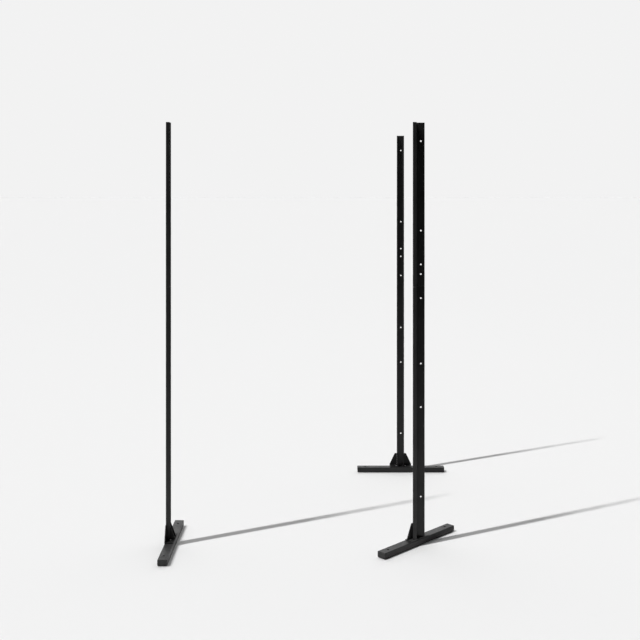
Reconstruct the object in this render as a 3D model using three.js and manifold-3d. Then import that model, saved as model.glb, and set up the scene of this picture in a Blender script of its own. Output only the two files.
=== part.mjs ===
// A set of three free-standing weave poles that stand as a right-angle corner: a corner pole and
// two end poles, each a slotted black post on a bar foot. The post is a U-shaped channel that
// takes the edge of a panel, in two lengths, on a bent steel shoe that is screwed to the foot.
// Millimetres, +Z up. The corner pole's two webs meet along one vertical line, which is x = 0,
// y = 0 while the poles are laid out. The finished group is then moved so that the origin is the
// centre of the set's box at floor level.

import * as THREE from 'three';
import { mergeVertices } from 'three/addons/utils/BufferGeometryUtils.js';
import Module from 'manifold-3d';

const wasm = await Module();
wasm.setup();

// ---- driving dimensions ----

const GAP = 0.3;              // clearance kept between pieces that touch
const BEND_STEPS = 4;         // straight steps in each rounded edge of a section
const POLE_HEIGHT = 2000;
const SEAM_HEIGHT = 1223;     // where the upper length stands on the lower one
const SEAM_WIDTH = 0.5;
const SPAN = 1181;            // from the corner line to the outer face of each end pole

const FOOT = { length: 515, width: 45, top: 30, wall: 2, radius: 3, hole: 47, holeRadius: 6 };
const CAP = { plate: 3, tongue: 12, radius: 2 };
const GLIDE = { pad: 2.7, padRadius: 12, studRadius: 4, studTop: 22, socket: 2.5, socketDepth: 6 };
const INSERT = { radius: 7, bore: 4.4, top: 16, flange: 9.5, flangeThickness: 1.5 };

const CHANNEL = { width: 42, depth: 18, wall: 3, edge: 0.8, bend: 1.6 };
const HOLES = { radius: 4, offset: 3, first: 223, pair: 425, pitch: 632, pairs: 3, joint: [1166, 1326] };
const SPLICE = { width: 33, thickness: 2, bottom: 1123, top: 1343 };

const SHOE = {
  plate: 3, top: 104, topHalf: 33.5, footHalf: 64, shoulder: 40,   // the upright wings
  cheekOut: 17.7, cheekFoot: -20, baseIn: -19,                     // the cheeks and the base
};
const SCREW = { end: 26, cornerAlong: 48, cornerAcross: 16.5, headRadius: 4, headHeight: 4.4,
  shankRadius: 2.5, shankEnd: 18, clearance: 0.4, hexRadius: 1.8, hexDepth: 2 };

// ---- heights and half sizes that follow from them ----

const FOOT_BOTTOM = GLIDE.pad + GAP;
const HALF_FOOT = FOOT.width / 2;
const HALF_CHANNEL = CHANNEL.width / 2;
const WEB_IN = HALF_FOOT - CHANNEL.wall;       // inner face of an end pole's web
const MOUTH = HALF_FOOT - CHANNEL.depth;       // tips of its flanges
const BASE_BOTTOM = FOOT.top + GAP;
const BASE_TOP = BASE_BOTTOM + SHOE.plate;
const LOWER_BOTTOM = BASE_TOP + GAP;
const LOWER_TOP = SEAM_HEIGHT - SEAM_WIDTH / 2;
const UPPER_BOTTOM = SEAM_HEIGHT + SEAM_WIDTH / 2;
const GLIDE_AT = FOOT.length / 2 - FOOT.hole;
const PANEL_HOLES = Array.from({ length: HOLES.pairs }, (_, i) => HOLES.first + i * HOLES.pitch)
  .flatMap((z) => [z, z + HOLES.pair]);
const HOLE_HEIGHTS = [...PANEL_HOLES, ...HOLES.joint];

// The corner section spreads about its corner line, so the foot's middle lies off that line by
// half of what the section reaches on its outer side less what it reaches on its inner side.
const CORNER_OFFSET = (CHANNEL.width - CHANNEL.depth) / Math.SQRT2 / 2;

// ---- materials ----

const blackMetal = () => new THREE.MeshStandardMaterial({ color: 0x1b1b1c, roughness: 0.5, metalness: 0.3 });
const shoeMetal = () => new THREE.MeshStandardMaterial({ color: 0x111112, roughness: 0.55, metalness: 0.3 });
const plastic = () => new THREE.MeshStandardMaterial({ color: 0x202021, roughness: 0.7, metalness: 0 });
const zinc = () => new THREE.MeshStandardMaterial({ color: 0xb9bcc0, roughness: 0.35, metalness: 0.9 });

// ---- helpers ----

// A closed three.js geometry as a solid that can be joined and cut.
function solid(geometry) {
  const bare = geometry.clone();
  bare.deleteAttribute('normal');
  bare.deleteAttribute('uv');
  const merged = mergeVertices(bare, 1e-4);
  return new wasm.Manifold(new wasm.Mesh({
    numProp: 3,
    vertProperties: new Float32Array(merged.attributes.position.array),
    triVerts: new Uint32Array(merged.index.array),
  }));
}

function named(name, body, material) {
  const { vertProperties, triVerts } = body.getMesh();
  const geometry = new THREE.BufferGeometry();
  geometry.setAttribute('position', new THREE.BufferAttribute(new Float32Array(vertProperties), 3));
  geometry.setIndex(new THREE.BufferAttribute(new Uint32Array(triVerts), 1));
  geometry.computeVertexNormals();
  const mesh = new THREE.Mesh(geometry, material);
  mesh.name = name;
  return mesh;
}

const joined = (pieces) => pieces.reduce((a, b) => a.add(b));
const cut = (body, tools) => tools.reduce((a, b) => a.subtract(b), body);

function block([x0, x1], [y0, y1], [z0, z1]) {
  const box = new THREE.BoxGeometry(x1 - x0, y1 - y0, z1 - z0);
  return solid(box.translate((x0 + x1) / 2, (y0 + y1) / 2, (z0 + z1) / 2));
}

// An upright round bar about (x, y).
function bar(radius, z0, z1, x = 0, y = 0, sides = 24) {
  const cylinder = new THREE.CylinderGeometry(radius, radius, z1 - z0, sides);
  return solid(cylinder.rotateX(Math.PI / 2).translate(x, y, (z0 + z1) / 2));
}

// A turned piece about the Z axis, from [radius, height] points listed upwards from the axis.
function turned(points, x = 0, y = 0, sides = 32) {
  const profile = points.map(([r, z]) => new THREE.Vector2(r, z));
  return solid(new THREE.LatheGeometry(profile, sides).rotateX(Math.PI / 2).translate(x, y, 0));
}

function outline(points) {
  return new THREE.Shape(points.map(([x, y]) => new THREE.Vector2(x, y)));
}

// An outline whose corners are rounded; each point is [x, y, radius].
function rounded(points) {
  const at = (i) => new THREE.Vector2(...points[(i + points.length) % points.length].slice(0, 2));
  const toward = (from, to, distance) => to.clone().sub(from).setLength(distance).add(from);
  const shape = new THREE.Shape();
  points.forEach(([, , radius = 0], i) => {
    const corner = at(i);
    const start = radius ? toward(corner, at(i - 1), radius) : corner;
    shape[i ? 'lineTo' : 'moveTo'](start.x, start.y);
    if (radius) {
      const end = toward(corner, at(i + 1), radius);
      shape.quadraticCurveTo(corner.x, corner.y, end.x, end.y);
    }
  });
  return shape;
}

const extruded = (shape, depth) =>
  new THREE.ExtrudeGeometry(shape, { depth, bevelEnabled: false, curveSegments: BEND_STEPS });

// A shape drawn in XY, raised from z0 to z1.
const raised = (shape, z0, z1) => solid(extruded(shape, z1 - z0).translate(0, 0, z0));

// A shape drawn in (along, Z), given its thickness across, for a foot that runs along X.
const plateAlong = (shape, y0, y1) =>
  solid(extruded(shape, y1 - y0).rotateX(Math.PI / 2).translate(0, y1, 0));

// A shape drawn in (Y, Z), raised along X.
const plateAcross = (shape, x0, x1) =>
  solid(extruded(shape, x1 - x0).rotateY(Math.PI / 2).rotateX(Math.PI / 2).translate(x0, 0, 0));

// ---- the foot: tube, end caps, threaded inserts and levelling glides ----

function tubeSection(inset, radius) {
  const half = HALF_FOOT - inset;
  const low = FOOT_BOTTOM + inset;
  const high = FOOT.top - inset;
  return rounded([[-half, low, radius], [half, low, radius], [half, high, radius], [-half, high, radius]]);
}

function footTube(screws) {
  const end = FOOT.length / 2 - CAP.plate - GAP;
  const inner = plateAcross(tubeSection(FOOT.wall, FOOT.radius / 2), -FOOT.length, FOOT.length);
  const tube = plateAcross(tubeSection(0, FOOT.radius), -end, end).subtract(inner);
  const aboveGlides = [-GLIDE_AT, GLIDE_AT].map((x) => bar(FOOT.holeRadius, FOOT.top / 2, FOOT.top + 1, x));
  const belowGlides = [-GLIDE_AT, GLIDE_AT].map((x) => bar(INSERT.radius + GAP, 0, FOOT.top / 2, x));
  const taps = screws.map(([x, y]) => bar(SCREW.shankRadius + GAP, FOOT.top / 2, FOOT.top + 1, x, y));
  return cut(tube, [...aboveGlides, ...belowGlides, ...taps]);
}

function endCap(side) {
  const end = FOOT.length / 2;
  const plate = plateAcross(tubeSection(0, FOOT.radius), end - CAP.plate, end);
  const rim = plateAcross(tubeSection(CAP.radius / 2, FOOT.radius), end - CAP.plate, end + CAP.radius / 2);
  const tongue = plateAcross(tubeSection(FOOT.wall + GAP, 1), end - CAP.plate - CAP.tongue, end - CAP.plate);
  const cap = joined([plate, tongue]).add(rim.intersect(plate));
  return side > 0 ? cap : cap.rotate([0, 0, 180]);
}

function threadedInsert(x) {
  const floor = FOOT_BOTTOM + FOOT.wall + GAP;
  const body = bar(INSERT.radius, FOOT_BOTTOM, INSERT.top, x);
  const flange = bar(INSERT.flange, floor, floor + INSERT.flangeThickness, x);
  return body.add(flange).subtract(bar(INSERT.bore, 0, INSERT.top + 1, x));
}

function glide(x) {
  const chamfer = 0.6;
  const body = turned([
    [0, 0], [GLIDE.padRadius - chamfer, 0], [GLIDE.padRadius, chamfer], [GLIDE.padRadius, GLIDE.pad],
    [GLIDE.studRadius, GLIDE.pad], [GLIDE.studRadius, GLIDE.studTop - chamfer],
    [GLIDE.studRadius - chamfer, GLIDE.studTop], [0, GLIDE.studTop],
  ], x);
  return body.subtract(bar(GLIDE.socket, GLIDE.studTop - GLIDE.socketDepth, GLIDE.studTop + 1, x, 0, 6));
}

// ---- screws that hold the shoe on the foot ----

function screw(x, y) {
  const low = BASE_TOP + GAP;
  const top = low + SCREW.headHeight;
  const shank = [[0, SCREW.shankEnd], [SCREW.shankRadius - 1, SCREW.shankEnd],
    [SCREW.shankRadius, SCREW.shankEnd + 1.5], [SCREW.shankRadius, low]];
  const head = [[SCREW.headRadius, low], [SCREW.headRadius, low + SCREW.headHeight * 0.45],
    [SCREW.headRadius * 0.86, low + SCREW.headHeight * 0.8], [SCREW.headRadius * 0.55, top], [0, top]];
  const body = turned([...shank, ...head], x, y, 20);
  return body.subtract(bar(SCREW.hexRadius, top - SCREW.hexDepth, top + 1, x, y, 6));
}

// ---- shoes ----

// One upright wing, from the channel's side out to the sloping edge. side is -1 or 1.
function wing(side, inner, y0, y1) {
  const points = [[inner, BASE_BOTTOM], [SHOE.footHalf, BASE_BOTTOM], [SHOE.footHalf, SHOE.shoulder],
    [SHOE.topHalf, SHOE.top], [inner, SHOE.top]];
  const plate = plateAlong(outline(points), y0, y1);
  return side > 0 ? plate : plate.mirror([1, 0, 0]);
}

function screwHoles(screws) {
  return screws.map(([x, y]) => bar(SCREW.shankRadius + SCREW.clearance, FOOT.top, BASE_TOP + 1, x, y));
}

// The shoe of an end pole: the wings lie in the plane of the web, one each side of the channel,
// and the two cheeks stand inside its flanges and slope down to the foot's inner side.
function endShoe(screws) {
  const base = block([-SHOE.footHalf, SHOE.footHalf], [SHOE.baseIn, HALF_FOOT], [BASE_BOTTOM, BASE_TOP]);
  const wings = [-1, 1].map((side) => wing(side, HALF_CHANNEL + GAP, WEB_IN, HALF_FOOT));
  const back = WEB_IN - SPLICE.thickness - 2 * GAP;
  const cheek = rounded([[back, BASE_BOTTOM], [back, SHOE.top], [MOUTH, SHOE.top, 2],
    [SHOE.cheekFoot, SHOE.shoulder, 3], [SHOE.cheekFoot, BASE_BOTTOM]]);
  const cheeks = [SHOE.plate - SHOE.cheekOut, SHOE.cheekOut]
    .map((x) => plateAcross(cheek, x - SHOE.plate, x));
  return cut(joined([base, ...wings, ...cheeks]), screwHoles(screws));
}

// The shoe of the corner pole: the wings run along the foot in line with the corner line, each
// one out through the open side of the section.
function cornerShoe(screws) {
  const inner = CHANNEL.wall * Math.SQRT2 + SHOE.plate / 2 + GAP;
  const across = [CORNER_OFFSET - SHOE.plate / 2, CORNER_OFFSET + SHOE.plate / 2];
  const base = block([-SHOE.footHalf, SHOE.footHalf], [SHOE.baseIn, HALF_FOOT - 1], [BASE_BOTTOM, BASE_TOP]);
  const wings = [-1, 1].map((side) => wing(side, inner, ...across));
  return cut(joined([base, ...wings]), screwHoles(screws));
}

// ---- channels ----

// A U section in XY: the web's outer face on y = 0, the mouth towards -Y, centred on x = 0.
function channelSection() {
  const { depth, wall, edge, bend } = CHANNEL;
  const half = HALF_CHANNEL;
  return rounded([
    [-half, 0, bend], [-half, -depth, edge], [-half + wall, -depth, edge], [-half + wall, -wall],
    [half - wall, -wall], [half - wall, -depth, edge], [half, -depth, edge], [half, 0, bend],
  ]);
}

function webHole(z) {
  const drill = new THREE.CylinderGeometry(HOLES.radius, HOLES.radius, 3 * CHANNEL.wall, 24);
  return solid(drill.translate(HOLES.offset, 0, z));
}

const holesBetween = (z0, z1) => HOLE_HEIGHTS.filter((z) => z > z0 && z < z1).map(webHole);

// A length of channel in its own frame, with the holes that fall inside it.
const channelLength = (z0, z1) => cut(raised(channelSection(), z0, z1), holesBetween(z0, z1));

function spliceStrip() {
  const back = -CHANNEL.wall - GAP;
  const half = SPLICE.width / 2;
  const strip = block([-half, half], [back - SPLICE.thickness, back], [SPLICE.bottom, SPLICE.top]);
  return cut(strip, holesBetween(SPLICE.bottom, SPLICE.top).map((hole) => hole.translate([0, back, 0])));
}

const onEndPole = (body) => body.translate([0, HALF_FOOT, 0]);

// What belongs to one panel of the corner pole, laid about the corner line: one panel comes from
// -X, the other from +Y, and the holes of both lie on the same side of their panels.
const openingLeft = (body) => body.mirror([1, 0, 0]).rotate([0, 0, -90]).translate([0, -HALF_CHANNEL, 0]);
const openingBack = (body) => body.mirror([0, 1, 0]).translate([HALF_CHANNEL, 0, 0]);

// The corner section in XY, one bent sheet: a flange in front of the panel from -X, that panel's
// web along Y, the other panel's web along X, and a flange at the outer side of the panel from +Y.
function cornerSection() {
  const { width, depth, wall, edge, bend } = CHANNEL;
  return rounded([
    [0, -width, bend], [0, 0], [width, 0, bend], [width, depth, edge], [width - wall, depth, edge],
    [width - wall, wall], [-wall, wall, bend], [-wall, wall - width], [-depth, wall - width, edge],
    [-depth, -width, edge],
  ]);
}

function cornerLength(z0, z1) {
  const holes = holesBetween(z0, z1);
  return cut(raised(cornerSection(), z0, z1), [...holes.map(openingLeft), ...holes.map(openingBack)]);
}

// ---- one pole: pieces in the pole's own frame, then the pole is put in its place ----

function footPieces(prefix, screws) {
  const pieces = [named(`${prefix}_foot_tube`, footTube(screws), blackMetal())];
  [-1, 1].forEach((side, i) => {
    const x = side * GLIDE_AT;
    pieces.push(
      named(`${prefix}_foot_end_cap_${i + 1}`, endCap(side), plastic()),
      named(`${prefix}_threaded_insert_${i + 1}`, threadedInsert(x), zinc()),
      named(`${prefix}_levelling_glide_${i + 1}`, glide(x), plastic()),
      named(`${prefix}_shoe_screw_${i + 1}`, screw(...screws[i]), zinc()),
    );
  });
  return pieces;
}

function place(pieces, x, y, turn) {
  const pole = new THREE.Group();
  pole.add(...pieces);
  pole.position.set(x, y, 0);
  pole.rotation.z = turn;
  return pole;
}

function endPole(prefix, x, y, turn) {
  const screws = [[-SCREW.end, 0], [SCREW.end, 0]];
  return place([
    ...footPieces(prefix, screws),
    named(`${prefix}_shoe`, endShoe(screws), shoeMetal()),
    named(`${prefix}_post_lower`, onEndPole(channelLength(LOWER_BOTTOM, LOWER_TOP)), blackMetal()),
    named(`${prefix}_post_upper`, onEndPole(channelLength(UPPER_BOTTOM, POLE_HEIGHT)), blackMetal()),
    named(`${prefix}_splice_strip`, onEndPole(spliceStrip()), shoeMetal()),
  ], x, y, turn);
}

// The corner pole's foot runs at 45 degrees; its webs are square to the panels.
function cornerPole() {
  const aside = CORNER_OFFSET / Math.SQRT2;
  const screws = [[-SCREW.cornerAlong, SCREW.cornerAcross], [SCREW.cornerAlong, SCREW.cornerAcross]];
  const foot = [...footPieces('corner', screws), named('corner_shoe', cornerShoe(screws), shoeMetal())];
  const post = [
    named('corner_post_lower', cornerLength(LOWER_BOTTOM, LOWER_TOP), blackMetal()),
    named('corner_post_upper', cornerLength(UPPER_BOTTOM, POLE_HEIGHT), blackMetal()),
    named('corner_splice_strip_1', openingLeft(spliceStrip()), shoeMetal()),
    named('corner_splice_strip_2', openingBack(spliceStrip()), shoeMetal()),
  ];
  const pole = new THREE.Group();
  pole.add(place(foot, aside, -aside, Math.PI / 4), ...post);
  return pole;
}

// ---- the set ----

const REACH = HALF_CHANNEL + FOOT.length / 2;    // how far an end foot runs past the corner line
const set = new THREE.Group();
set.add(
  endPole('left', -SPAN + HALF_FOOT, -HALF_CHANNEL, Math.PI / 2),
  endPole('rear', HALF_CHANNEL, SPAN - HALF_FOOT, 0),
  cornerPole(),
);
set.position.set((SPAN - REACH) / 2, (REACH - SPAN) / 2, 0);

export default set;
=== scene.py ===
"""Looks of a set of three free-standing weave poles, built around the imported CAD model.

Each visible piece is made here in millimetres, in its pole's own frame (the foot runs along X, the
web of an end pole's channel faces +Y), then placed where the CAD nodes are, in metres.
"""

import math

import bmesh
import bpy
from mathutils import Matrix, Vector


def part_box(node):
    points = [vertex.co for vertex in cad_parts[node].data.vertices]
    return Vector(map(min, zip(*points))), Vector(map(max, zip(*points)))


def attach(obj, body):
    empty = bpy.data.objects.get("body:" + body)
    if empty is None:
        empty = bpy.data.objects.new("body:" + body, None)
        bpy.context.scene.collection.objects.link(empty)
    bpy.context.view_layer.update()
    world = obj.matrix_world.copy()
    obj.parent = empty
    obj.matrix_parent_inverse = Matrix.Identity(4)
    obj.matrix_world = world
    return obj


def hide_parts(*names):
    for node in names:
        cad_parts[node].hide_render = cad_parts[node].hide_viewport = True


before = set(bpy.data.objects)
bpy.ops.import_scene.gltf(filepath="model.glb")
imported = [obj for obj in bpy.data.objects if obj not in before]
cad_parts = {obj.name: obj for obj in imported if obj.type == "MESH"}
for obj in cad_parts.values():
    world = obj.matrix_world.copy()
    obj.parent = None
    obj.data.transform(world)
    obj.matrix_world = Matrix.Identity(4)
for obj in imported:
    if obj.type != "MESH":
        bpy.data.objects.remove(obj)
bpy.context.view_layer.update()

scene = bpy.context.scene

# ---- the camera and the light, in metres and degrees ----

CAMERA_AT = (0.00965, -5.028, 1.6939)
LENS = 54.19
SHIFT_X = -0.0045
SHIFT_Y = -0.2078

SUN_TRAVEL = (0.884, 0.468)    # towards +X and +Y
SUN_ELEVATIONS = (51, 52.5, 55.5, 60, 64, 66, 69)
SUN_SIZE = 0.8
SUN_ON_FLOOR = 2.27
FLOOR_SIZE = 300
FLOOR_TONE = 0.797
FLOOR_FAR = 0.989           # the far floor's tone, as a part of the near floor's
FLOOR_FADE = (1.0, 12.0)    # distances from the set between which it changes
BOUNCE_FADE = (1.8, 3.4)    # distances over which the floor stops lighting the set
BACKGROUND = 0.889
SKY_DARK = 0.05
SKY_BRIGHT = 1.30
SKY_FADE = (-0.05, 0.75)    # Y of the directions between which the sky brightens

# ---- sizes, in millimetres ----

MM = 0.001
GAP = 0.3
POLE_HEIGHT = 2000
SEAM_HEIGHT = 1223
SEAM_WIDTH = 0.5

FOOT_LENGTH = 515
FOOT_WIDTH = 45
FOOT_TOP = 30
FOOT_WALL = 2
FOOT_RADIUS = 3
ACCESS_HOLE = 6
HOLE_FROM_END = 47

TUBE_EDGE = 0.3

CAP_PLATE = 3
CAP_TONGUE = 12

PAD_HEIGHT = 2.7
PAD_RADIUS = 12
PAD_RIBS = 24
PAD_RIB = 0.35
STUD_RADIUS = 4
STUD_TOP = 22
STUD_PITCH = 1.25
SOCKET_RADIUS = 2.5
SOCKET_DEPTH = 6

INSERT_RADIUS = 7
INSERT_BORE = 4.4
INSERT_TOP = 16
INSERT_FLANGE = 9.5
INSERT_FLANGE_THICKNESS = 1.5
INSERT_FLUTES = 20
INSERT_FLUTE = 0.3

CHANNEL_WIDTH = 42
CHANNEL_DEPTH = 18
CHANNEL_WALL = 3
CHANNEL_BEND = 1.6
CHANNEL_EDGE = 0.8
INNER_BEND = 0.7
POST_EDGE = 0.35

HOLE_RADIUS = 4
HOLE_OFFSET = 3
PANEL_HOLES = [first + pair for first in (223, 855, 1487) for pair in (0, 425)]
JOINT_HOLES = [1166, 1326]

SPLICE_WIDTH = 33
SPLICE_THICKNESS = 2
SPLICE_CORNER = 4
SPLICE_EDGE = 0.3
SPLICE_ENDS = (1123, 1343)

SHOE_PLATE = 3
SHOE_EDGE = 0.45
SHOE_TOP = 104
SHOE_TOP_HALF = 33.5
SHOE_FOOT_HALF = 64
SHOE_SHOULDER = 40
SHOE_BASE_IN = -19
CHEEK_OUT = 17.7
CHEEK_FOOT = -20

SCREW_AT_END = [(-26, 0), (26, 0)]
SCREW_AT_CORNER = [(-48, 16.5), (48, 16.5)]
SCREW_HEAD_RADIUS = 4
SCREW_HEAD_HEIGHT = 4.4
SCREW_SHANK_RADIUS = 2.5
SCREW_SHANK_END = 18
SCREW_PITCH = 0.8
SCREW_CLEARANCE = 0.4
HEX_RADIUS = 1.8
HEX_DEPTH = 2

WELD_RADIUS = 1.7
WELD_RIPPLE = 2.4

# ---- heights and half sizes that follow ----

FOOT_BOTTOM = PAD_HEIGHT + GAP
HALF_FOOT = FOOT_WIDTH / 2
HALF_CHANNEL = CHANNEL_WIDTH / 2
WEB_IN = HALF_FOOT - CHANNEL_WALL
MOUTH = HALF_FOOT - CHANNEL_DEPTH
BASE_BOTTOM = FOOT_TOP + GAP
BASE_TOP = BASE_BOTTOM + SHOE_PLATE
LOWER_ENDS = (BASE_TOP + GAP, SEAM_HEIGHT - SEAM_WIDTH / 2)
UPPER_ENDS = (SEAM_HEIGHT + SEAM_WIDTH / 2, POLE_HEIGHT)
GLIDE_AT = FOOT_LENGTH / 2 - HOLE_FROM_END
CORNER_OFFSET = (CHANNEL_WIDTH - CHANNEL_DEPTH) / math.sqrt(2) / 2

ARC_STEPS = 6
ROUND_STEPS = 48
SHARP = math.radians(35)


# ---- outlines ----

def rounded(points):
    """The points of a closed outline whose corners are arcs. Each corner is (x, y) or (x, y, radius)."""
    loop = []
    for i, corner in enumerate(points):
        here = Vector(corner[:2])
        radius = corner[2] if len(corner) > 2 else 0
        if not radius:
            loop.append(here)
            continue
        before = (Vector(points[i - 1][:2]) - here).normalized()
        after = (Vector(points[(i + 1) % len(points)][:2]) - here).normalized()
        half = before.angle(after) / 2
        centre = here + (before + after).normalized() * (radius / math.sin(half))
        start = here + before * (radius / math.tan(half)) - centre
        end = here + after * (radius / math.tan(half)) - centre
        turn = start.angle_signed(end)
        for k in range(ARC_STEPS + 1):
            loop.append(centre + Matrix.Rotation(-turn * k / ARC_STEPS, 2) @ start)
    return loop


def rounded_box(half_x, low, high, radius):
    return rounded([(-half_x, low, radius), (half_x, low, radius),
                    (half_x, high, radius), (-half_x, high, radius)])


def circle(radius, centre=(0, 0), steps=ROUND_STEPS):
    turns = [2 * math.pi * k / steps for k in range(steps)]
    return [Vector((centre[0] + radius * math.cos(t), centre[1] + radius * math.sin(t))) for t in turns]


# ---- solids, as bmeshes ----

def skin(loops):
    """A closed body through loops of 3-D points, all with the same number of points."""
    body = bmesh.new()
    rings = [[body.verts.new(p) for p in loop] for loop in loops]
    for lower, upper in zip(rings, rings[1:]):
        for i, (a, b) in enumerate(zip(lower, upper)):
            j = (i + 1) % len(lower)
            body.faces.new((a, lower[j], upper[j], b))
    body.faces.new(reversed(rings[0]))
    body.faces.new(rings[-1])
    bmesh.ops.recalc_face_normals(body, faces=body.faces)
    return body


def upright(loop, low, high):
    """An outline in (X, Y), raised from low to high."""
    return skin([[(p.x, p.y, z) for p in loop] for z in (low, high)])


def along_x(loop, low, high):
    """An outline in (Y, Z), run along X from low to high."""
    return skin([[(x, p.x, p.y) for p in loop] for x in (low, high)])


def along_y(loop, low, high):
    """An outline in (X, Z), run along Y from low to high."""
    return skin([[(p.x, y, p.y) for p in loop] for y in (low, high)])


def turned(profile, centre=(0, 0), steps=ROUND_STEPS):
    """A body turned about a vertical axis, from (radius, height) points listed upwards."""
    return skin([[(*p, z) for p in circle(r, centre, steps)] for r, z in profile])


def threaded(radius, low, high, pitch, centre, steps=32):
    """An upright threaded bar: its radius dips along a helix, and its ends are chamfered."""
    depth = 0.5 * pitch
    rows = math.ceil((high - low) / pitch * 6)
    loops = []
    for row in range(rows + 1):
        z = low + (high - low) * row / rows
        chamfer = max(0.0, depth - (high - z), depth - (z - low))
        loop = []
        for k in range(steps):
            wave = abs(2 * ((z / pitch - k / steps) % 1) - 1)
            r = radius - max(depth * wave, chamfer)
            turn = 2 * math.pi * k / steps
            loop.append((centre[0] + r * math.cos(turn), centre[1] + r * math.sin(turn), z))
        loops.append(loop)
    return skin(loops)


def temporary(body):
    mesh = bpy.data.meshes.new("temporary")
    body.to_mesh(mesh)
    body.free()
    obj = bpy.data.objects.new("temporary", mesh)
    scene.collection.objects.link(obj)
    return obj


def combine(body, others, operation):
    """The union of the bodies, or the first with the others cut from it."""
    target = temporary(body)
    tools = [temporary(other) for other in others]
    for tool in tools:
        step = target.modifiers.new("combine", "BOOLEAN")
        step.operation = operation
        step.solver = "EXACT"
        step.object = tool
    result = bmesh.new()
    result.from_object(target, bpy.context.evaluated_depsgraph_get())
    for obj in [target, *tools]:
        mesh = obj.data
        bpy.data.objects.remove(obj)
        bpy.data.meshes.remove(mesh)
    return result


def joined(*bodies):
    return combine(bodies[0], bodies[1:], "UNION")


def cut(body, *tools):
    return combine(body, tools, "DIFFERENCE")


def together(*bodies):
    """Bodies that don't overlap, as one mesh."""
    total = bmesh.new()
    for body in bodies:
        mesh = bpy.data.meshes.new("temporary")
        body.to_mesh(mesh)
        body.free()
        total.from_mesh(mesh)
        bpy.data.meshes.remove(mesh)
    return total


def moved(body, matrix):
    bmesh.ops.transform(body, matrix=matrix, verts=body.verts)
    if matrix.determinant() < 0:
        bmesh.ops.reverse_faces(body, faces=body.faces)
    return body


def softened(body, width, segments=2):
    """Every sharp edge gets a rounded bevel of that width."""
    bmesh.ops.remove_doubles(body, verts=body.verts, dist=1e-4)
    bmesh.ops.dissolve_limit(body, angle_limit=math.radians(0.5), verts=body.verts, edges=body.edges,
                             delimit=set())
    edges = [e for e in body.edges if e.is_manifold and e.calc_face_angle() > SHARP]
    bmesh.ops.bevel(body, geom=edges, offset=width, offset_type="OFFSET", segments=segments, profile=0.5,
                    affect="EDGES", clamp_overlap=True, loop_slide=True)
    return body


# ---- materials ----

class Nodes:
    """A material's node tree, with short calls for its nodes and links."""

    def __init__(self, name):
        self.material = bpy.data.materials.new(name)
        self.material.use_nodes = True
        self.tree = self.material.node_tree
        self.shader = self.tree.nodes["Principled BSDF"]
        self.place = self.add("ShaderNodeTexCoord").outputs["Object"]

    def add(self, kind, links=None, **values):
        node = self.tree.nodes.new(kind)
        for name, value in values.items():
            setattr(node, name, value)
        for socket, source in (links or {}).items():
            if isinstance(source, bpy.types.NodeSocket):
                self.tree.links.new(source, node.inputs[socket])
            else:
                node.inputs[socket].default_value = source
        return node

    def noise(self, scale, detail=2.0, stretch=None, roughness=0.5):
        place = self.place
        if stretch:
            place = self.add("ShaderNodeMapping", {"Vector": place, "Scale": stretch}).outputs[0]
        links = {"Vector": place, "Scale": scale, "Detail": detail, "Roughness": roughness}
        return self.add("ShaderNodeTexNoise", links).outputs["Fac"]

    def ramp(self, value, low, high, out_low=0.0, out_high=1.0):
        links = {"Value": value, "From Min": low, "From Max": high, "To Min": out_low, "To Max": out_high}
        return self.add("ShaderNodeMapRange", links, interpolation_type="SMOOTHSTEP").outputs["Result"]

    def maths(self, operation, a, b=0.0):
        return self.add("ShaderNodeMath", {0: a, 1: b}, operation=operation).outputs[0]

    def mix(self, factor, a, b):
        node = self.add("ShaderNodeMix", data_type="RGBA")
        sockets = {"Factor": node.inputs[0], "A": node.inputs[6], "B": node.inputs[7]}
        for name, value in (("Factor", factor), ("A", a), ("B", b)):
            if isinstance(value, bpy.types.NodeSocket):
                self.tree.links.new(value, sockets[name])
            else:
                sockets[name].default_value = value
        return node.outputs[2]

    def bump(self, height, strength, distance, normal=None):
        links = {"Height": height, "Strength": strength, "Distance": distance}
        if normal is not None:
            links["Normal"] = normal
        return self.add("ShaderNodeBump", links).outputs["Normal"]

    def edges(self, width):
        """1 near a convex or concave edge, 0 on the open faces."""
        smooth = self.add("ShaderNodeBevel", {"Radius": width}, samples=4).outputs["Normal"]
        true = self.add("ShaderNodeNewGeometry").outputs["Normal"]
        along = self.add("ShaderNodeVectorMath", {0: smooth, 1: true}, operation="DOT_PRODUCT")
        return self.ramp(along.outputs["Value"], 0.995, 0.90)

    def upward(self):
        normal = self.add("ShaderNodeNewGeometry").outputs["Normal"]
        height = self.add("ShaderNodeSeparateXYZ", {0: normal}).outputs["Z"]
        return self.ramp(height, 0.55, 0.98)

    def set(self, **sockets):
        for name, value in sockets.items():
            socket = self.shader.inputs[name.replace("_", " ")]
            if isinstance(value, bpy.types.NodeSocket):
                self.tree.links.new(value, socket)
            else:
                socket.default_value = value


def grey(value):
    return (value, value, value, 1.0)


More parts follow.
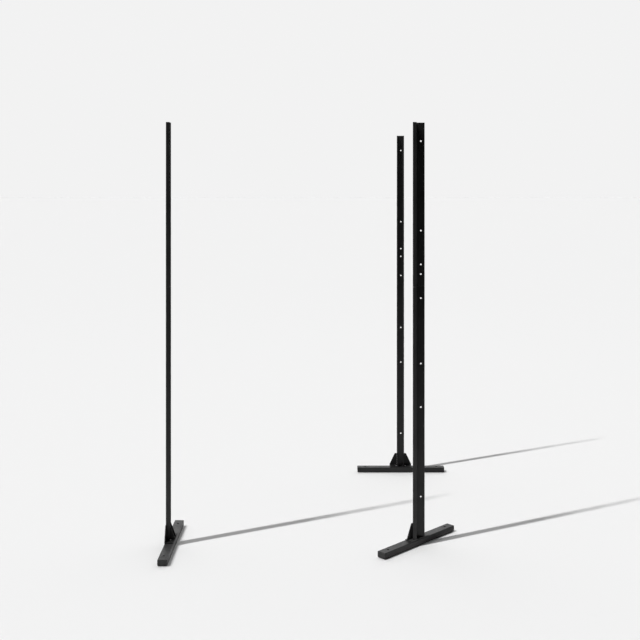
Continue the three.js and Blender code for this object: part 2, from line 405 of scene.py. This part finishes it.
def powder_coat(name, tone, roughness, gloss, dust):
    """Black powder coat: fine orange peel, soft cloudiness, edges painted lighter (partly rubbed wear,
    partly a painted highlight), a little dust.
    """
    n = Nodes(name)
    cloud = n.ramp(n.noise(7, 4), 0.3, 0.7)
    colour = n.mix(cloud, grey(tone * 0.82), grey(tone * 1.18))
    # Edges, creases included, are painted lighter: partly rubbed wear, partly a painted highlight along
    # the edges.
    edge_wear_and_highlight = n.maths("MULTIPLY", n.edges(0.0007), n.ramp(n.noise(120, 3), 0.42, 0.68))
    colour = n.mix(n.maths("MULTIPLY", edge_wear_and_highlight, 0.3), colour, grey(tone * 3.0))
    settled = n.maths("MULTIPLY", n.upward(), n.ramp(n.noise(34, 6, roughness=0.7), 0.38, 0.72))
    colour = n.mix(n.maths("MULTIPLY", settled, dust), colour, grey(0.34))
    streak = n.noise(1, 3, stretch=(90, 90, 4))
    patch = n.noise(16, 3)
    uneven = n.maths("ADD", n.ramp(streak, 0.3, 0.7, -0.05, 0.05), n.ramp(patch, 0.3, 0.7, -0.05, 0.06))
    uneven = n.maths("SUBTRACT", uneven, n.maths("MULTIPLY", edge_wear_and_highlight, 0.08))
    rough = n.maths("ADD", n.maths("ADD", uneven, n.maths("MULTIPLY", settled, dust)), roughness)
    peel = n.bump(n.noise(330, 2), 0.35, 0.00008)
    grain = n.bump(n.noise(1500, 2), 0.45, 0.00003, peel)
    n.set(Base_Color=colour, Roughness=rough, Normal=grain, Specular_IOR_Level=gloss)
    return n.material


def moulded_plastic(name, tone, roughness):
    """Black moulded plastic: spark-eroded grain, faint flow marks, scuffed edges."""
    n = Nodes(name)
    flow = n.ramp(n.noise(60, 4, stretch=(1, 1, 2.5)), 0.35, 0.7)
    colour = n.mix(flow, grey(tone * 0.85), grey(tone * 1.2))
    scuff = n.maths("MULTIPLY", n.edges(0.0006), n.ramp(n.noise(220, 4), 0.45, 0.65))
    colour = n.mix(n.maths("MULTIPLY", scuff, 0.45), colour, grey(tone * 3.5))
    rough = n.maths("ADD", n.ramp(n.noise(90, 3), 0.3, 0.7, -0.07, 0.07), roughness)
    grain = n.bump(n.noise(2600, 3), 0.5, 0.00004)
    n.set(Base_Color=colour, Roughness=rough, Normal=grain, Specular_IOR_Level=0.45)
    return n.material


def zinc_plate(name, tone, roughness):
    """Bright zinc: fine drawn lines, cloudy passivation, dulled edges."""
    n = Nodes(name)
    cloud = n.ramp(n.noise(180, 4), 0.3, 0.7)
    colour = n.mix(cloud, (tone * 0.86, tone * 0.88, tone * 0.92, 1), (tone, tone * 0.99, tone * 0.95, 1))
    worn = n.maths("MULTIPLY", n.edges(0.0004), n.ramp(n.noise(500, 3), 0.4, 0.65))
    colour = n.mix(n.maths("MULTIPLY", worn, 0.5), colour, grey(tone * 0.45))
    rough = n.maths("ADD", n.ramp(n.noise(700, 3), 0.3, 0.7, -0.08, 0.10), roughness)
    lines = n.bump(n.noise(1, 3, stretch=(400, 400, 3500)), 0.35, 0.00003)
    n.set(Base_Color=colour, Roughness=rough, Normal=lines, Metallic=1.0)
    return n.material


def weld_metal(name, tone):
    """A weld bead under the coat: a touch glossier, with fine spatter pits."""
    n = Nodes(name)
    colour = n.mix(n.ramp(n.noise(260, 4), 0.3, 0.7), grey(tone * 0.8), grey(tone * 1.6))
    rough = n.ramp(n.noise(420, 3), 0.3, 0.7, 0.34, 0.55)
    pits = n.bump(n.noise(1300, 4), 0.6, 0.00012)
    n.set(Base_Color=colour, Roughness=rough, Normal=pits, Specular_IOR_Level=0.4)
    return n.material


MATERIALS = {
    "coated_post": powder_coat("post coat", 0.024, 0.46, 0.30, 0.05),
    "coated_foot": powder_coat("foot coat", 0.019, 0.46, 0.28, 0.05),
    "coated_shoe": powder_coat("shoe coat", 0.008, 0.55, 0.22, 0.03),
    "black_plastic": moulded_plastic("cap plastic", 0.020, 0.55),
    "glide_plastic": moulded_plastic("glide plastic", 0.026, 0.62),
    # The insert's zinc is a darker copy of the screws' zinc: painted shade inside the foot.
    "zinc": zinc_plate("zinc insert painted darker", 0.34, 0.50),
    "zinc_screw": zinc_plate("zinc screw", 0.92, 0.34),
    "splice_steel": powder_coat("splice coat", 0.014, 0.52, 0.30, 0.0),
}
WELD = weld_metal("weld", 0.010)
# The stud's blackened finish is made this dark to stand in for the shade down the access holes: partly a
# real finish, partly painted shade.
STUD_DARK_AS_SHADE = weld_metal("blackened stud dark as shade", 0.008)
# The corner shoe gets a copy of the shoe coat made over five times lighter: painted light.
CORNER_COAT_PAINTED_LIGHTER = powder_coat("corner shoe coat painted lighter", 0.045, 0.50, 0.35, 0.03)


# ---- making a piece ----

def piece(name, body, place, rides_on, slot, stands_for=(), material=None):
    """A finished mesh from a body in millimetres: placed in metres, shaded, riding on its CAD body."""
    bmesh.ops.transform(body, matrix=Matrix.Scale(MM, 4), verts=body.verts)
    bmesh.ops.transform(body, matrix=place, verts=body.verts)
    mesh = bpy.data.meshes.new(name)
    body.to_mesh(mesh)
    body.free()
    mesh.polygons.foreach_set("use_smooth", [True] * len(mesh.polygons))
    mesh.set_sharp_from_angle(angle=math.radians(40))
    mesh.materials.append(material or MATERIALS[slot])
    obj = bpy.data.objects.new(name, mesh)
    scene.collection.objects.link(obj)
    even = obj.modifiers.new("even normals", "WEIGHTED_NORMAL")
    even.keep_sharp = True
    even.weight = 100
    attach(obj, rides_on)
    if stands_for:
        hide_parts(*stands_for)
    return obj


# ---- foot: tube, end caps, inserts and levelling glides ----

def tube_section(inset, radius):
    return rounded_box(HALF_FOOT - inset, FOOT_BOTTOM + inset, FOOT_TOP - inset, radius)


def foot_tube(screws):
    end = FOOT_LENGTH / 2 - CAP_PLATE - GAP
    tube = along_x(tube_section(0, FOOT_RADIUS), -end, end)
    hollow = along_x(tube_section(FOOT_WALL, FOOT_RADIUS / 2), -FOOT_LENGTH, FOOT_LENGTH)
    middle = (FOOT_BOTTOM + FOOT_TOP) / 2
    access = [upright(circle(ACCESS_HOLE, (x, 0)), middle, FOOT_TOP + 1) for x in (-GLIDE_AT, GLIDE_AT)]
    below = [upright(circle(INSERT_RADIUS + GAP, (x, 0)), 0, middle) for x in (-GLIDE_AT, GLIDE_AT)]
    taps = [upright(circle(SCREW_SHANK_RADIUS + GAP, at), middle, FOOT_TOP + 1) for at in screws]
    return softened(cut(tube, hollow, *access, *below, *taps), TUBE_EDGE)


def end_cap(side):
    """A push-in cap: fins that grip the tube, a lip over its end, and a slightly crowned face."""
    face = FOOT_LENGTH / 2
    lip = face - CAP_PLATE
    grip = FOOT_WALL + GAP
    rings = [(grip + 1.4, lip - CAP_TONGUE), (grip + 0.6, lip - CAP_TONGUE + 0.6)]
    for fin in range(3):
        at = lip - CAP_TONGUE + 2 + 3.2 * fin
        rings += [(grip + 0.9, at), (grip, at + 0.5), (grip, at + 1.3), (grip + 0.9, at + 1.8)]
    rings += [(grip + 0.9, lip), (0.25, lip), (0, lip + 0.25)]
    roundness = 1.2
    for k in range(6):
        turn = math.pi / 2 * k / 5
        rings.append((roundness * (1 - math.cos(turn)), face - 0.35 - roundness * (1 - math.sin(turn))))
    rings += [(3.0, face - 0.30), (3.3, face - 0.62), (3.9, face - 0.62), (4.2, face - 0.28),
              (7.0, face - 0.10), (10.5, face)]
    loops = []
    for inset, x in rings:
        radius = max(0.8, FOOT_RADIUS - 0.5 * inset)
        loops.append([(side * x, p.x, p.y) for p in tube_section(inset, radius)])
    return skin(loops)


def ribbed_ring(x, radius, z, ribs, depth):
    """A level ring about (x, 0) whose radius dips by the depth between its ribs."""
    steps = ribs * 4
    loop = []
    for k in range(steps):
        turn = 2 * math.pi * k / steps
        r = radius - depth * (k % 4 in (0, 1))
        loop.append((x + r * math.cos(turn), r * math.sin(turn), z))
    return loop


def glide_pad(x):
    """The pad of a levelling glide: a dished sole, and grip ribs round its edge."""
    def ring(radius, z, depth=0.0):
        return ribbed_ring(x, radius, z, PAD_RIBS, depth)

    return skin([
        ring(6, 0.35), ring(7, 0.0), ring(PAD_RADIUS - 0.7, 0.0), ring(PAD_RADIUS, 0.6, PAD_RIB),
        ring(PAD_RADIUS, PAD_HEIGHT - 0.6, PAD_RIB), ring(PAD_RADIUS - 0.5, PAD_HEIGHT - 0.1),
        ring(STUD_RADIUS + 1.5, PAD_HEIGHT), ring(STUD_RADIUS, PAD_HEIGHT),
    ])


def glide_stud(x):
    stud = threaded(STUD_RADIUS, PAD_HEIGHT + 0.02, STUD_TOP, STUD_PITCH, (x, 0))
    socket = upright(circle(SOCKET_RADIUS, (x, 0), 6), STUD_TOP - SOCKET_DEPTH, STUD_TOP + 1)
    return cut(stud, socket)


def threaded_insert(x):
    """A rivet nut: a knurled body through the bottom wall and a flange inside the tube."""
    floor = FOOT_BOTTOM + FOOT_WALL + GAP

    def ring(radius, z, depth=0.0):
        return ribbed_ring(x, radius, z, INSERT_FLUTES, depth)

    body = skin([
        ring(INSERT_RADIUS - 0.4, FOOT_BOTTOM), ring(INSERT_RADIUS, FOOT_BOTTOM + 0.4),
        ring(INSERT_RADIUS, floor), ring(INSERT_FLANGE, floor), ring(INSERT_FLANGE, floor + 1.1),
        ring(INSERT_FLANGE - 0.4, floor + INSERT_FLANGE_THICKNESS),
        ring(INSERT_RADIUS, floor + INSERT_FLANGE_THICKNESS),
        ring(INSERT_RADIUS, floor + 2.2, INSERT_FLUTE),
        ring(INSERT_RADIUS, INSERT_TOP - 0.8, INSERT_FLUTE),
        ring(INSERT_RADIUS - 0.6, INSERT_TOP),
    ])
    return softened(cut(body, upright(circle(INSERT_BORE, (x, 0)), 0, INSERT_TOP + 1)), 0.15, 1)


# ---- screws ----

def screw(centre):
    """A button-head screw with a hexagon socket."""
    low = BASE_TOP + GAP
    top = low + SCREW_HEAD_HEIGHT
    profile = [(SCREW_HEAD_RADIUS - 0.25, low), (SCREW_HEAD_RADIUS, low + 0.25)]
    straight = low + 1.7
    crown = top - straight
    for k in range(9):
        turn = math.pi / 2 * k / 8 * 0.86
        profile.append((SCREW_HEAD_RADIUS * (0.42 + 0.58 * math.cos(turn)) if k else SCREW_HEAD_RADIUS,
                        straight + crown * math.sin(turn) / math.sin(math.pi / 2 * 0.86)))
    head = turned(profile, centre, 40)
    socket = upright(circle(HEX_RADIUS, centre, 6), top - HEX_DEPTH, top + 1)
    head = softened(cut(head, socket), 0.12, 1)
    shank = threaded(SCREW_SHANK_RADIUS, SCREW_SHANK_END, low - 0.02, SCREW_PITCH, centre, 24)
    return together(head, shank)


# ---- shoes ----

def wing(side, inner, y0, y1):
    """One upright wing beside the post, with a sloping edge and rounded corners."""
    low = BASE_BOTTOM + 0.5
    corners = [(inner, low), (SHOE_FOOT_HALF, low), (SHOE_FOOT_HALF, SHOE_SHOULDER, 3),
               (SHOE_TOP_HALF, SHOE_TOP, 5), (inner, SHOE_TOP, 1)]
    plate = along_y(rounded(corners), y0, y1)
    return plate if side > 0 else moved(plate, Matrix.Scale(-1, 4, (1, 0, 0)))


def shoe_base(y0, y1):
    half = SHOE_FOOT_HALF
    corners = [(-half, y0, 4), (half, y0, 4), (half, y1, 1), (-half, y1, 1)]
    return upright(rounded(corners), BASE_BOTTOM, BASE_TOP)


def screw_holes(screws):
    return [upright(circle(SCREW_SHANK_RADIUS + SCREW_CLEARANCE, at), FOOT_TOP - 1, BASE_TOP + 1)
            for at in screws]


def end_shoe():
    wings = [wing(side, HALF_CHANNEL + GAP, WEB_IN, HALF_FOOT) for side in (-1, 1)]
    back = WEB_IN - SPLICE_THICKNESS - 2 * GAP
    low = BASE_BOTTOM + 0.5
    cheek = rounded([(back, low), (back, SHOE_TOP, 1), (MOUTH, SHOE_TOP, 3),
                     (CHEEK_FOOT, SHOE_SHOULDER, 4), (CHEEK_FOOT + 1, low)])
    cheeks = [along_x(cheek, x - SHOE_PLATE, x) for x in (SHOE_PLATE - CHEEK_OUT, CHEEK_OUT)]
    body = joined(shoe_base(SHOE_BASE_IN, HALF_FOOT), *wings, *cheeks)
    return softened(cut(body, *screw_holes(SCREW_AT_END)), SHOE_EDGE)


def corner_shoe():
    inner = CHANNEL_WALL * math.sqrt(2) + SHOE_PLATE / 2 + GAP
    across = (CORNER_OFFSET - SHOE_PLATE / 2, CORNER_OFFSET + SHOE_PLATE / 2)
    wings = [wing(side, inner, *across) for side in (-1, 1)]
    body = joined(shoe_base(SHOE_BASE_IN, HALF_FOOT - 1), *wings)
    return softened(cut(body, *screw_holes(SCREW_AT_CORNER)), SHOE_EDGE)


def weld_bead(start, end, radius=WELD_RADIUS):
    """A rippled weld bead laid along a line, with round ends."""
    a = Vector(start)
    b = Vector(end)
    along = (b - a).normalized()
    side = along.cross(Vector((0, 0, 1))).normalized()
    length = (b - a).length
    rows = round(length / WELD_RIPPLE * 6)
    sides = 14
    loops = []
    for row in range(rows + 1):
        s = length * row / rows
        nose = math.sqrt(max(0.02, 1 - max(0.0, 1 - s / radius, 1 - (length - s) / radius) ** 2))
        phase = (s / WELD_RIPPLE) % 1
        size = radius * nose * (0.90 + 0.16 * phase * (1 - phase) * 4)
        at = a + along * s
        loops.append([at + side * size * math.cos(t) + Vector((0, 0, size * math.sin(t)))
                      for t in (2 * math.pi * k / sides for k in range(sides))])
    return skin(loops)


def end_welds():
    """Beads along the wings, behind them on the base, and inside the cheeks."""
    beads = []
    for side in (-1, 1):
        beads.append(weld_bead((side * 25, WEB_IN, BASE_TOP), (side * 61, WEB_IN, BASE_TOP)))
        x = side * (CHEEK_OUT - SHOE_PLATE)
        beads.append(weld_bead((x, SHOE_BASE_IN + 3, BASE_TOP), (x, WEB_IN - 5, BASE_TOP)))
    return together(*beads)


def corner_welds():
    beads = []
    for side in (-1, 1):
        for face in (-1, 1):
            y = CORNER_OFFSET + face * SHOE_PLATE / 2
            start = 46 if face > 0 else 44
            beads.append(weld_bead((side * start, y, BASE_TOP), (side * 61, y, BASE_TOP)))
    return together(*beads)


# ---- posts ----

def channel_outline():
    """A U section: the web's outer face on y = 0, the mouth towards -Y, centred on x = 0."""
    half, t = HALF_CHANNEL, CHANNEL_WALL
    return rounded([
        (-half, 0, CHANNEL_BEND), (-half, -CHANNEL_DEPTH, CHANNEL_EDGE),
        (-half + t, -CHANNEL_DEPTH, CHANNEL_EDGE), (-half + t, -t, INNER_BEND),
        (half - t, -t, INNER_BEND), (half - t, -CHANNEL_DEPTH, CHANNEL_EDGE),
        (half, -CHANNEL_DEPTH, CHANNEL_EDGE), (half, 0, CHANNEL_BEND),
    ])


def corner_outline():
    """The corner section, one bent sheet: flange, web along Y, web along X, flange."""
    w, d, t = CHANNEL_WIDTH, CHANNEL_DEPTH, CHANNEL_WALL
    return rounded([
        (0, -w, CHANNEL_BEND), (0, 0, INNER_BEND), (w, 0, CHANNEL_BEND), (w, d, CHANNEL_EDGE),
        (w - t, d, CHANNEL_EDGE), (w - t, t, INNER_BEND), (-t, t, CHANNEL_BEND),
        (-t, -w + t, INNER_BEND), (-d, -w + t, CHANNEL_EDGE), (-d, -w, CHANNEL_EDGE),
    ])


def holes_between(ends):
    return [z for z in PANEL_HOLES + JOINT_HOLES if ends[0] < z < ends[1]]


def drill_y(x, z, y0, y1):
    return along_y(circle(HOLE_RADIUS, (x, z)), y0, y1)


def drill_x(y, z, x0, x1):
    return along_x(circle(HOLE_RADIUS, (y, z)), x0, x1)


def end_post(ends):
    length = upright(channel_outline(), *ends)
    reach = 2 * CHANNEL_WALL
    drills = [drill_y(HOLE_OFFSET, z, -reach, reach) for z in holes_between(ends)]
    body = softened(cut(length, together(*drills)), POST_EDGE)
    return moved(body, Matrix.Translation((0, HALF_FOOT, 0)))


def corner_post(ends):
    length = upright(corner_outline(), *ends)
    reach = 2 * CHANNEL_WALL
    heights = holes_between(ends)
    drills = [drill_y(HALF_CHANNEL + HOLE_OFFSET, z, -reach, reach) for z in heights]
    drills += [drill_x(-HALF_CHANNEL + HOLE_OFFSET, z, -reach, reach) for z in heights]
    return softened(cut(length, together(*drills)), POST_EDGE)


def splice_strip():
    back = -CHANNEL_WALL - GAP
    front = back - SPLICE_THICKNESS
    half = SPLICE_WIDTH / 2
    low, high = SPLICE_ENDS
    strip = along_y(rounded_box(half, low, high, SPLICE_CORNER), front, back)
    drills = [drill_y(HOLE_OFFSET, z, front - 1, back + 1) for z in holes_between(SPLICE_ENDS)]
    return softened(cut(strip, together(*drills)), SPLICE_EDGE)


# ---- the three poles ----

def foot_place(prefix, degrees):
    """Where a foot's own frame stands in the row frame, in metres."""
    low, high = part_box(f"{prefix}_foot_tube")
    middle = (low + high) / 2
    return Matrix.Translation((middle.x, middle.y, 0)) @ Matrix.Rotation(math.radians(degrees), 4, "Z")


def corner_line():
    """Where the corner pole's two webs meet, in metres."""
    low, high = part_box("corner_post_lower")
    return Matrix.Translation((high.x - CHANNEL_WIDTH * MM, high.y - CHANNEL_DEPTH * MM, 0))


def build_foot(prefix, place, screws):
    body = f"{prefix}_pole"
    piece(f"{prefix}_foot_bar", foot_tube(screws), place, body, "coated_foot", [f"{prefix}_foot_tube"])
    for i, side in ((1, -1), (2, 1)):
        x = side * GLIDE_AT
        piece(f"{prefix}_foot_plug_{i}", end_cap(side), place, body, "black_plastic",
              [f"{prefix}_foot_end_cap_{i}"])
        piece(f"{prefix}_rivet_nut_{i}", threaded_insert(x), place, body, "zinc",
              [f"{prefix}_threaded_insert_{i}"])
        piece(f"{prefix}_glide_stud_{i}", glide_stud(x), place, f"{prefix}_glide_{i}", "glide_plastic",
              [f"{prefix}_levelling_glide_{i}"], STUD_DARK_AS_SHADE)
        piece(f"{prefix}_glide_pad_{i}", glide_pad(x), place, f"{prefix}_glide_{i}", "glide_plastic",
              [f"{prefix}_levelling_glide_{i}"])
        piece(f"{prefix}_button_screw_{i}", screw(screws[i - 1]), place, body, "zinc_screw",
              [f"{prefix}_shoe_screw_{i}"])


def build_end_pole(prefix, degrees):
    place = foot_place(prefix, degrees)
    body = f"{prefix}_pole"
    build_foot(prefix, place, SCREW_AT_END)
    piece(f"{prefix}_bracket", end_shoe(), place, body, "coated_shoe", [f"{prefix}_shoe"])
    piece(f"{prefix}_bracket_welds", end_welds(), place, body, "coated_shoe", material=WELD)
    piece(f"{prefix}_channel_lower", end_post(LOWER_ENDS), place, body, "coated_post",
          [f"{prefix}_post_lower"])
    piece(f"{prefix}_channel_upper", end_post(UPPER_ENDS), place, f"{prefix}_upper_length", "coated_post",
          [f"{prefix}_post_upper"])
    strip = moved(splice_strip(), Matrix.Translation((0, HALF_FOOT, 0)))
    piece(f"{prefix}_joining_strip", strip, place, body, "splice_steel", [f"{prefix}_splice_strip"])


def build_corner_pole():
    place = foot_place("corner", 45)
    line = corner_line()
    body = "corner_pole"
    build_foot("corner", place, SCREW_AT_CORNER)
    piece("corner_bracket", corner_shoe(), place, body, "coated_shoe", ["corner_shoe"],
          CORNER_COAT_PAINTED_LIGHTER)
    piece("corner_bracket_welds", corner_welds(), place, body, "coated_shoe", material=WELD)
    piece("corner_channel_lower", corner_post(LOWER_ENDS), line, body, "coated_post",
          ["corner_post_lower"])
    piece("corner_channel_upper", corner_post(UPPER_ENDS), line, "corner_upper_length", "coated_post",
          ["corner_post_upper"])
    flip = Matrix.Scale(-1, 4, (1, 0, 0))
    left = Matrix.Translation((0, -HALF_CHANNEL, 0)) @ Matrix.Rotation(math.radians(-90), 4, "Z") @ flip
    back = Matrix.Translation((HALF_CHANNEL, 0, 0)) @ Matrix.Scale(-1, 4, (0, 1, 0))
    for i, lay in ((1, left), (2, back)):
        piece(f"corner_joining_strip_{i}", moved(splice_strip(), lay), line, body, "splice_steel",
              [f"corner_splice_strip_{i}"])


build_end_pole("left", 90)
build_end_pole("rear", 0)
build_corner_pole()


# ---- floor, light and camera ----

def make_floor():
    half = FLOOR_SIZE / 2
    square = ((-half, -half), (half, -half), (half, half), (-half, half))
    body = bmesh.new()
    body.faces.new([body.verts.new((x, y, 0)) for x, y in square])
    mesh = bpy.data.meshes.new("floor")
    body.to_mesh(mesh)
    body.free()
    n = Nodes("floor paint")
    away = n.add("ShaderNodeVectorMath", {0: n.place}, operation="LENGTH").outputs["Value"]
    bounce = n.ramp(away, *BOUNCE_FADE, 1.0, 0.0)
    camera = n.add("ShaderNodeLightPath").outputs["Is Camera Ray"]
    seen = n.maths("MULTIPLY", camera, n.ramp(away, *FLOOR_FADE, 1.0, FLOOR_FAR))
    tone = n.maths("MULTIPLY", n.maths("MAXIMUM", seen, bounce), FLOOR_TONE)
    n.set(Base_Color=tone, Roughness=1.0, Specular_IOR_Level=0.0)
    mesh.materials.append(n.material)
    floor = bpy.data.objects.new("floor", mesh)
    scene.collection.objects.link(floor)


def make_world():
    """A soft room: bright behind the set, dark on the viewer's side, with a plain pale backdrop."""
    world = bpy.data.worlds.new("studio")
    world.use_nodes = True
    scene.world = world
    tree = world.node_tree
    shade = tree.nodes["Background"]
    way = tree.nodes.new("ShaderNodeTexCoord")
    split = tree.nodes.new("ShaderNodeSeparateXYZ")
    fade = tree.nodes.new("ShaderNodeMapRange")
    fade.interpolation_type = "SMOOTHSTEP"
    names = ("From Min", "From Max", "To Min", "To Max")
    for name, value in zip(names, (*SKY_FADE, SKY_DARK, SKY_BRIGHT)):
        fade.inputs[name].default_value = value
    ray = tree.nodes.new("ShaderNodeLightPath")
    plain = tree.nodes.new("ShaderNodeBackground")
    plain.inputs["Color"].default_value = grey(BACKGROUND)
    pick = tree.nodes.new("ShaderNodeMixShader")
    link = tree.links.new
    link(way.outputs["Generated"], split.inputs[0])
    link(split.outputs["Y"], fade.inputs["Value"])
    link(fade.outputs["Result"], shade.inputs["Color"])
    link(ray.outputs["Is Camera Ray"], pick.inputs[0])
    link(shade.outputs[0], pick.inputs[1])
    link(plain.outputs[0], pick.inputs[2])
    link(pick.outputs[0], tree.nodes["World Output"].inputs["Surface"])


def make_suns():
    """A key light that is narrow from side to side and tall: a stack of small suns."""
    share = SUN_ON_FLOOR / len(SUN_ELEVATIONS)
    for i, elevation in enumerate(SUN_ELEVATIONS):
        rise = math.sin(math.radians(elevation))
        level = math.cos(math.radians(elevation))
        light = bpy.data.lights.new(f"key_{i}", "SUN")
        light.energy = share / rise
        light.angle = math.radians(SUN_SIZE)
        sun = bpy.data.objects.new(f"key_{i}", light)
        scene.collection.objects.link(sun)
        travel = Vector((SUN_TRAVEL[0] * level, SUN_TRAVEL[1] * level, -rise))
        sun.rotation_euler = travel.to_track_quat("-Z", "Y").to_euler()


def make_camera():
    camera = bpy.data.cameras.new("camera")
    camera.lens = LENS
    camera.shift_x = SHIFT_X
    camera.shift_y = SHIFT_Y
    camera.clip_end = FLOOR_SIZE
    obj = bpy.data.objects.new("camera", camera)
    scene.collection.objects.link(obj)
    obj.location = CAMERA_AT
    obj.rotation_euler = (math.radians(90), 0, 0)
    scene.camera = obj


make_floor()
make_world()
make_suns()
make_camera()
scene.view_settings.view_transform = "Standard"
